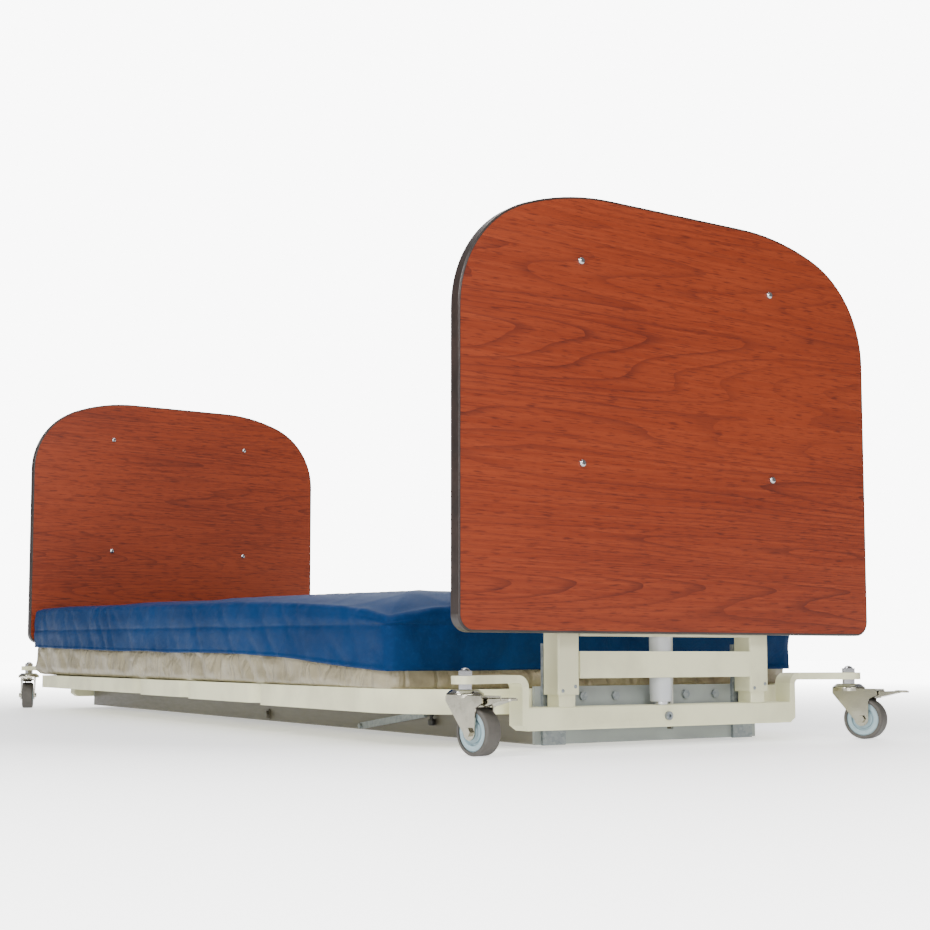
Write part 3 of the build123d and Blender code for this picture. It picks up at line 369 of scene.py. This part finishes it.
class Cover:
    """A fitted cover: a top grid, rings down its sides and perhaps a bottom grid."""

    def __init__(self, half, y0, y1):
        columns = int(2 * half / PITCH) | 1
        marks = [y0] + [y for _, y, *_ in BENDS if y < y1] + [y1]
        rows = [np.linspace(a, b, max(2, int((b - a) / PITCH)), endpoint=False)
                for a, b in zip(marks, marks[1:])]
        self.xs = np.linspace(-half, half, columns)
        self.ys = np.append(np.concatenate(rows), y1)
        self.half, self.y0, self.y1 = half, y0, y1
        nx, ny = len(self.xs), len(self.ys)
        self.loop = ([(i, 0) for i in range(nx)] + [(nx - 1, j) for j in range(1, ny)]
                     + [(i, ny - 1) for i in range(nx - 2, -1, -1)]
                     + [(0, j) for j in range(ny - 2, 0, -1)])
        self.rim = np.array([(self.xs[i], self.ys[j]) for i, j in self.loop])
        self.out = np.array([self.outward(x, y) for x, y in self.rim])
        self.verts, self.ways, self.faces, self.bands = [], [], [], []

    def outward(self, x, y):
        """Outward direction of a rim point, fanned round near a corner."""
        to_side, to_end = self.half - abs(x), min(y - self.y0, self.y1 - y)
        end = math.copysign(1, y - (self.y0 + self.y1) / 2)
        side = math.copysign(1, x)
        turn = 0.25 * math.pi
        if to_side < 1e-6:
            angle = turn * max(0.0, 1 - to_end / CORNER_REACH)
        else:
            angle = math.pi / 2 - turn * max(0.0, 1 - to_side / CORNER_REACH)
        return math.cos(angle) * side, math.sin(angle) * end

    def band(self, j):
        return sum(self.ys[j] + 1e-6 >= cut for _, cut, *_ in BENDS)

    def add_grid(self, height, ring=None, flip=False):
        """Adds a full grid whose heights come from height(x, y); ring gives its rim if it has one."""
        nx, ny = len(self.xs), len(self.ys)
        index = {}
        if ring is not None:
            index = dict(zip(self.loop, ring))
        for j in range(ny):
            for i in range(nx):
                if (i, j) not in index:
                    index[i, j] = len(self.verts)
                    self.verts.append((self.xs[i], self.ys[j], height(self.xs[i], self.ys[j])))
                    self.ways.append((0, 0, -1 if flip else 1))
        for j in range(ny - 1):
            for i in range(nx - 1):
                quad = [index[i, j], index[i + 1, j], index[i + 1, j + 1], index[i, j + 1]]
                self.faces.append(quad[::-1] if flip else quad)
                self.bands.append(self.band(j))
        return [index[cell] for cell in self.loop]

    def add_ring(self, above, reach, heights, rise=0.0):
        """Adds one ring, reach metres outside the rim, under the ring above; its folds move it
        along a way that points outwards, tipped up by rise."""
        first = len(self.verts)
        spots = self.rim + self.out * np.asarray(reach).reshape(-1, 1)
        self.verts.extend((x, y, z) for (x, y), z in zip(spots, heights))
        self.ways.extend((math.cos(rise) * x, math.cos(rise) * y, math.sin(rise)) for x, y in self.out)
        made = list(range(first, len(self.verts)))
        count = len(made)
        for k in range(count):
            n = (k + 1) % count
            self.faces.append([above[k], made[k], made[n], above[n]])
            self.bands.append(self.band(min(self.loop[k][1], self.loop[n][1])))
        return made

    def pieces(self, name, points, finish):
        """Makes one piece for each part in BENDS, with normals shared across the splits."""
        mesh = bpy.data.meshes.new(name + "_whole")
        mesh.from_pydata(points.tolist(), [], self.faces)
        mesh.update()
        smooth = np.empty(len(points) * 3)
        mesh.vertex_normals.foreach_get("vector", smooth)
        smooth = smooth.reshape(-1, 3)
        made = []
        for number, (part, _, still, moving, (start, end)) in enumerate(BENDS):
            faces = [f for f, band in zip(self.faces, self.bands) if band == number]
            used, inverse = np.unique(np.array(faces), return_inverse=True)
            piece = bpy.data.meshes.new(f"{name}_{part}")
            piece.from_pydata(points[used].tolist(), [], inverse.reshape(-1, 4).tolist())
            piece.shade_smooth()
            piece.normals_split_custom_set_from_vertices(smooth[used].tolist())
            piece.materials.append(finish)
            obj = bpy.data.objects.new(f"{name}_{part}", piece)
            bpy.context.scene.collection.objects.link(obj)
            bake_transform(obj)
            made.append(obj)
        bpy.data.meshes.remove(mesh)
        return made


def side_share(points, half):
    """1 on the upright sides and ends of the mattress, 0 on its top and bottom."""
    inside_x = half - np.abs(points[:, 0])
    inside_y = np.minimum(points[:, 1] - MATTRESS_Y[0], MATTRESS_Y[1] - points[:, 1])
    return np.clip(1 - np.minimum(inside_x, inside_y) / SIDE_DEPTH, 0, 1)


def settle(points):
    """The cover's plan as it lies: drawn in near the head end, spread on the +X side at the foot."""
    share = np.clip((points[:, 1] - TAPER_START) / TAPER_LENGTH, 0, 1)
    points[:, 0] *= 1 - HEAD_TAPER / MATTRESS_HALF * share * share * (3 - 2 * share)
    foot = np.clip(-points[:, 1], 0, 1)
    points[:, 0] += FOOT_SPREAD * foot * np.clip(points[:, 0] / MATTRESS_HALF, 0, 1)


def lower_cover(finish):
    """Taupe lower cover, a closed body under the deck-side half of the blue cover."""
    margin = COVER_GAP + LOWER_INSET
    cover = Cover(MATTRESS_HALF - margin, MATTRESS_Y[0] + margin, MATTRESS_Y[1] - margin)
    ring = cover.add_grid(lambda x, y: LOWER_TOP)
    ys = cover.rim[:, 1]
    under, turn = along(UNDER, ys), along(UNDER_ROUND, ys)
    ring = cover.add_ring(ring, 0.5 * LOWER_INSET, LOWER_BEVEL + 0 * ys)
    for share in np.linspace(0, 1, LOWER_RINGS):
        heights = LOWER_SHOULDER + share * (under + turn - LOWER_SHOULDER)
        ring = cover.add_ring(ring, LOWER_INSET, heights)
    for angle in np.radians((30, 60, 90)):
        reach = LOWER_INSET - turn * (1 - math.cos(angle))
        ring = cover.add_ring(ring, reach, under + turn * (1 - math.sin(angle)))
    ring = cover.add_ring(ring, 0.4 * (LOWER_INSET - turn), UNDERSIDE + 0 * ys)
    ring = cover.add_ring(ring, 0.0, UNDERSIDE + 0 * ys)
    cover.add_grid(lambda x, y: UNDERSIDE, ring=ring, flip=True)
    points = np.array(cover.verts)
    ways = np.array(cover.ways, dtype=float)
    side = side_share(points, MATTRESS_HALF)
    low = np.clip((points[:, 2] - 0.100) / 0.012, 0, 1) * side
    slanted, counter = leaning(points, 0.45), leaning(points, -0.8)
    folds = 0.0085 * creases(slanted, (8, 8, 4.5), 1, 2)
    folds -= 0.0085 * creases(counter, (11, 11, 5), 2, 2)
    folds += 0.0050 * wobble(points, (6, 6, 7), 3) + 0.0026 * creases(points, (26, 26, 14), 4, 2)
    folds -= 0.0026
    under_hem = along(HEM, points[:, 1]) - points[:, 2]
    tucked = np.clip(under_hem / 0.012, 0, 1)
    folds = folds * tucked - TUCK * (1 - tucked)
    points = points + ways * (folds * low)[:, None]
    edge = side * np.clip(1 - (points[:, 2] - 0.095) / 0.02, 0, 1)
    points[:, 2] += edge * 0.0016 * wobble(points, (11, 11, 3), 6)
    settle(points)
    return cover.pieces("mattress_lower", points, finish)


def upper_cover(finish):
    """Blue upper cover, drawn over the lower one, with a turned hem and a stitched side seam."""
    half, (y0, y1) = MATTRESS_HALF - TOP_ROUND, MATTRESS_Y
    cover = Cover(half, y0 + TOP_ROUND, y1 - TOP_ROUND)

    def top(x, y):
        to_side, to_foot, to_head = half - abs(x), y - y0 - TOP_ROUND, y1 - TOP_ROUND - y
        edge = along(EDGE_TOP, y)
        for end, to_end in ((-1, to_foot), (1, to_head)):
            edge -= CORNER_DIP[end] * math.exp(-math.hypot(to_side, to_end) / CORNER_SPREAD)
        inward = min(max(min(to_side, to_foot, to_head), 0) / CROWN_REACH, 1)
        return edge + (along(RIDGE, y) - edge) * (1 - (1 - inward) ** CROWN_POWER)

    ring = cover.add_grid(top)
    ys = cover.rim[:, 1]
    edge = np.array([top(x, y) for x, y in cover.rim])
    for angle in np.radians((15, 30, 45, 60, 75, 90)):
        heights = edge - TOP_ROUND * (1 - math.cos(angle))
        ring = cover.add_ring(ring, TOP_ROUND * math.sin(angle), heights, math.pi / 2 - angle)
    shoulder, seam, hem = edge - TOP_ROUND, along(SEAM, ys), along(HEM, ys)
    seam = seam + 0.0025 * wobble(np.c_[cover.rim, 0 * ys], (5, 5, 1), 19)
    for rings, above, below in ((SHOULDER_RINGS, shoulder, seam), (SKIRT_RINGS, seam, hem)):
        for share, reach in rings:
            ring = cover.add_ring(ring, TOP_ROUND + reach, above - share * (above - below))
    ring = cover.add_ring(ring, TOP_ROUND - HEM_INSIDE, hem + HEM_LIP)
    cover.add_ring(ring, TOP_ROUND - HEM_INSIDE, hem + HEM_TURNED)
    points = np.array(cover.verts)
    ways = np.array(cover.ways, dtype=float)
    side = side_share(points, MATTRESS_HALF + 0.002)
    heights = points[:, 2]
    hem_all, top_all = along(HEM, points[:, 1]), along(EDGE_TOP, points[:, 1])
    level = np.clip((heights - hem_all) / (top_all - hem_all), 0, 1)
    slanted, counter = leaning(points, 1.1), leaning(points, -0.7)
    folds = 0.0036 * creases(slanted, (12, 11, 5), 11, 2) * (0.3 + 0.7 * level)
    folds -= 0.0030 * creases(counter, (14, 12, 6), 12, 2)
    folds += 0.0038 * wobble(points, (4.2, 3.6, 8), 13) + 0.0016 * creases(slanted, (26, 22, 12), 14, 2)
    flat = 0.0040 * wobble(points, (4.4, 3.1, 1), 15) + 0.0016 * creases(points, (7, 9, 1), 16)
    gathers = 0.0026 * wobble(points, (30, 30, 5), 17) * np.clip(1 - level / 0.40, 0, 1)
    folds = FOLD_LIMIT * np.tanh((folds + gathers - 0.0015) / FOLD_LIMIT)
    points = points + ways * (side * folds + (1 - side) * flat)[:, None]
    points[:, 2] += side * np.clip(1 - level / 0.08, 0, 1) * 0.0020 * wobble(points, (7, 6, 1), 18)
    settle(points)
    return cover.pieces("mattress_upper", points, finish)


def make_mattress():
    """Replaces the four soft foam blocks with the two covers, each made in three pieces."""
    lower = lower_cover(taupe_cover())
    upper = upper_cover(coated_blue())
    blocks = ("mattress_calf", "mattress_thigh", "mattress_seat", "mattress_back")
    for covers in zip(lower, upper):
        for cover in covers:
            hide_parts(*blocks)


# ---- small hardware -------------------------------------------------------------------------
# Profiles of turned pieces are (radius, height) pairs.
RAIL_FACE = 0.250
STAY_LOW, STAY_HIGH = (-0.547, 0.0135), (-0.797, 0.046)
STAY_ROUND, STAY_THICK = 0.0065, 0.004
STAY_BOLT = ((0.0055, 0), (0.0055, 0.0035), (0.0046, 0.0045))
KNOB_PLACE = (-RAIL_FACE - 0.0072, -0.828, 0.049)
KNOB = ((0.0045, 0), (0.0045, 0.006), (0.0030, 0.0062), (0.0030, 0.011), (0.0062, 0.0115),
        (0.0070, 0.014), (0.0070, 0.021), (0.0055, 0.023))
SLEEVE_X, SCREW_SPACING, SCREW_LEVELS = 0.215, 0.026, (0.0965, 0.1035)
SCREW = ((0.0032, 0), (0.0030, 0.0009), (0.0018, 0.0014))


def add_piece(name, verts, faces, slot, body, placed=Matrix()):
    """A rigid piece from plain mesh data, with its faces turned outwards."""
    shape = bmesh.new()
    corners = [shape.verts.new(placed @ Vector(vert)) for vert in verts]
    for face in faces:
        shape.faces.new([corners[k] for k in face])
    bmesh.ops.recalc_face_normals(shape, faces=shape.faces)
    mesh = bpy.data.meshes.new(name)
    shape.to_mesh(mesh)
    shape.free()
    mesh.materials.append(finishes[slot])
    obj = bpy.data.objects.new(name, mesh)
    bpy.context.scene.collection.objects.link(obj)
    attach(obj, body)


def solid(name, profile, steps, place, turn, slot):
    """Turned piece on the deck frame: a profile spun in steps round its own axis."""
    verts, faces = [], []
    for radius, height in profile:
        for k in range(steps):
            angle = 2 * math.pi * (k + 0.5) / steps
            verts.append((radius * math.cos(angle), radius * math.sin(angle), height))
    for level in range(len(profile) - 1):
        for k in range(steps):
            a, b = level * steps + k, level * steps + (k + 1) % steps
            faces.append((a, b, b + steps, a + steps))
    faces.append(tuple(range(steps))[::-1])
    faces.append(tuple(range(len(verts) - steps, len(verts))))
    turned = Matrix.Translation(place) @ Matrix.Rotation(math.radians(turn[0]), 4, turn[1])
    add_piece(name, verts, faces, slot, "deck_frame", turned)


def make_stay():
    """Flat stay bolted outside the -X rail, and the black spring knob past its foot end."""
    run, climb = STAY_LOW[0] - STAY_HIGH[0], STAY_HIGH[1] - STAY_LOW[1]
    rise, length = math.atan2(climb, run), math.hypot(climb, run)
    outline = []
    for tip, first in ((length / 2, -90), (-length / 2, 90)):
        for angle in np.radians(np.linspace(first, first + 180, 9)):
            outline.append((tip + STAY_ROUND * math.cos(angle), STAY_ROUND * math.sin(angle)))
    middle = [(a + b) / 2 for a, b in zip(STAY_LOW, STAY_HIGH)]
    verts = []
    for out in (0.0, STAY_THICK):
        for along_bar, across in outline:
            y = middle[0] - along_bar * math.cos(rise) - across * math.sin(rise)
            z = middle[1] + along_bar * math.sin(rise) - across * math.cos(rise)
            verts.append((-RAIL_FACE - out, y, z))
    count = len(outline)
    faces = [tuple(range(count)), tuple(range(count, 2 * count))[::-1]]
    faces += [(k, k + count, (k + 1) % count + count, (k + 1) % count) for k in range(count)]
    add_piece("calf_stay", verts, faces, "galvanised", "deck_frame")
    for number, (y, z) in enumerate((STAY_LOW, STAY_HIGH)):
        solid(f"stay_bolt_{number}", STAY_BOLT, 6, (-RAIL_FACE - STAY_THICK, y, z), (-90, "Y"),
              "galvanised")
    solid("stay_knob", KNOB, 24, KNOB_PLACE, (180, "X"), "black_plastic")


def make_sleeve_screws():
    """Two small pan-head screws low on the outboard face of every sleeve, at both ends."""
    for end, way in (("foot", -1), ("head", 1)):
        low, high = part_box(f"{end}_sleeves")
        face = low.y if way < 0 else high.y
        for side in (-1, 1):
            for number, z in enumerate(SCREW_LEVELS):
                x = side * SLEEVE_X + (number - 0.5) * SCREW_SPACING
                solid(f"{end}_sleeve_screw_{'left' if side < 0 else 'right'}_{number}", SCREW, 16,
                      (x, face, z), (-90 * way, "X"), "galvanised")


# ---- stage ----------------------------------------------------------------------------------
CAMERA_PLACE, CAMERA_YAW, CAMERA_PITCH = (-1.638155, -3.101889, 0.155), 0.5637497, 0.0777998
LENS, SENSOR, SHIFT = 55.249, 36.0, (0.0083, 0.0851)
FLOOR_HALF = 30
FLOOR_GLOW = 0.6
FADE_REACH, FADE_GLOW = (1.0, 5.5), 8.0
BACKDROP_WAY, BACKDROP_EDGE = (0.534, 0.845, 0.02), (0.80, 0.905)
BACKDROP_DIM, BACKDROP_BRIGHT = 0.26, 9.0
GLOSS_LIMIT = 1.1
# Name, place, what it is aimed at, width and height, power.
LIGHTS = (
    ("key", (-3.4, -1.9, 2.7), (0, -0.1, 0.2), (1.0, 1.6), 150),
    ("board", (-0.6, -5.2, 2.4), (0, -1.2, 0.5), (2.0, 1.2), 105),
    ("overhead", (0.2, 0.2, 4.0), (0, 0, 0), (2.6, 3.6), 130),
    ("low", (-2.4, -3.9, 0.45), (0, -0.8, 0.1), (1.6, 0.5), 34),
)


def softbox(name, place, target, size, power):
    """Rectangular area light at place, turned to face the target."""
    light = bpy.data.lights.new(name, "AREA")
    light.shape, light.size, light.size_y = "RECTANGLE", size[0], size[1]
    light.energy = power
    lamp = bpy.data.objects.new(name, light)
    bpy.context.scene.collection.objects.link(lamp)
    lamp.location = place
    lamp.rotation_euler = (Vector(target) - Vector(place)).to_track_quat("-Z", "Y").to_euler()


def make_floor():
    """White floor. To the camera it brightens with its distance from the bed, up to the backdrop."""
    shader = Shader("studio_floor", (0.85, 0.85, 0.85), 0.5, Emission_Color=(1, 1, 1, 1))
    seen = shader.node("ShaderNodeLightPath").outputs["Is Camera Ray"]
    far = shader.node("ShaderNodeVectorMath", {0: shader.place}, operation="LENGTH").outputs["Value"]
    fade = shader.math("MULTIPLY", shader.remap(far, *FADE_REACH), seen)
    glow = shader.math("MULTIPLY_ADD", fade, FADE_GLOW, FLOOR_GLOW)
    shader.feed(shader.bsdf.inputs["Emission Strength"], glow)
    shader.bump(shader.noise(shader.place, 3.0, 2.0), 0.0004, 0.2)
    mesh = bpy.data.meshes.new("studio_floor")
    corners = [(x * FLOOR_HALF, y * FLOOR_HALF, 0) for x, y in ((-1, -1), (1, -1), (1, 1), (-1, 1))]
    mesh.from_pydata(corners, [], [(0, 1, 2, 3)])
    mesh.materials.append(shader.material)
    floor = bpy.data.objects.new("studio_floor", mesh)
    bpy.context.scene.collection.objects.link(floor)


def make_backdrop():
    """World light: white to the camera all round. The bed is lit by it mostly from BACKDROP_WAY,
    a fixed way in the room, and glossy reflections of the bright part are limited."""
    world = bpy.data.worlds.new("studio")
    bpy.context.scene.world = world
    world.use_nodes = True
    tree = world.node_tree

    def node(kind, **values):
        made = tree.nodes.new(kind)
        for socket, value in values.items():
            made.inputs[socket.replace("_", " ")].default_value = value
        return made

    place, rays = node("ShaderNodeTexCoord"), node("ShaderNodeLightPath")
    facing = node("ShaderNodeVectorMath")
    facing.operation = "DOT_PRODUCT"
    facing.inputs[1].default_value = BACKDROP_WAY
    ramp = node("ShaderNodeMapRange", From_Min=BACKDROP_EDGE[0], From_Max=BACKDROP_EDGE[1],
                To_Min=BACKDROP_DIM, To_Max=BACKDROP_BRIGHT)
    ramp.interpolation_type = "SMOOTHSTEP"
    limit = node("ShaderNodeMapRange", To_Min=BACKDROP_BRIGHT, To_Max=GLOSS_LIMIT)
    lower = node("ShaderNodeMath")
    lower.operation = "MINIMUM"
    seen = node("ShaderNodeMapRange", To_Max=BACKDROP_BRIGHT)
    background = tree.nodes["Background"]
    background.inputs["Color"].default_value = (1, 1, 1, 1)
    for output, target in (
            (place.outputs["Generated"], facing.inputs[0]),
            (facing.outputs["Value"], ramp.inputs["Value"]),
            (rays.outputs["Is Glossy Ray"], limit.inputs["Value"]),
            (ramp.outputs["Result"], lower.inputs[0]),
            (limit.outputs["Result"], lower.inputs[1]),
            (rays.outputs["Is Camera Ray"], seen.inputs["Value"]),
            (lower.outputs["Value"], seen.inputs["To Min"]),
            (seen.outputs["Result"], background.inputs["Strength"])):
        tree.links.new(output, target)


def make_stage():
    """Floor, backdrop and four soft lights. They are not part of the bed."""
    make_floor()
    make_backdrop()
    for name, *setting in LIGHTS:
        softbox(name, *setting)


def set_camera():
    """The reference camera, solved from the object's own measured edges."""
    lens = bpy.data.cameras.new("reference")
    lens.lens, lens.sensor_width = LENS, SENSOR
    lens.shift_x, lens.shift_y = SHIFT
    camera = bpy.data.objects.new("reference", lens)
    bpy.context.scene.collection.objects.link(camera)
    camera.location = CAMERA_PLACE
    level = math.cos(CAMERA_PITCH)
    forward = Vector((math.sin(CAMERA_YAW) * level, math.cos(CAMERA_YAW) * level,
                      math.sin(CAMERA_PITCH)))
    camera.rotation_euler = forward.to_track_quat("-Z", "Y").to_euler()
    bpy.context.scene.camera = camera


paint_frame()
make_mattress()
make_stay()
make_sleeve_screws()
make_stage()
set_camera()
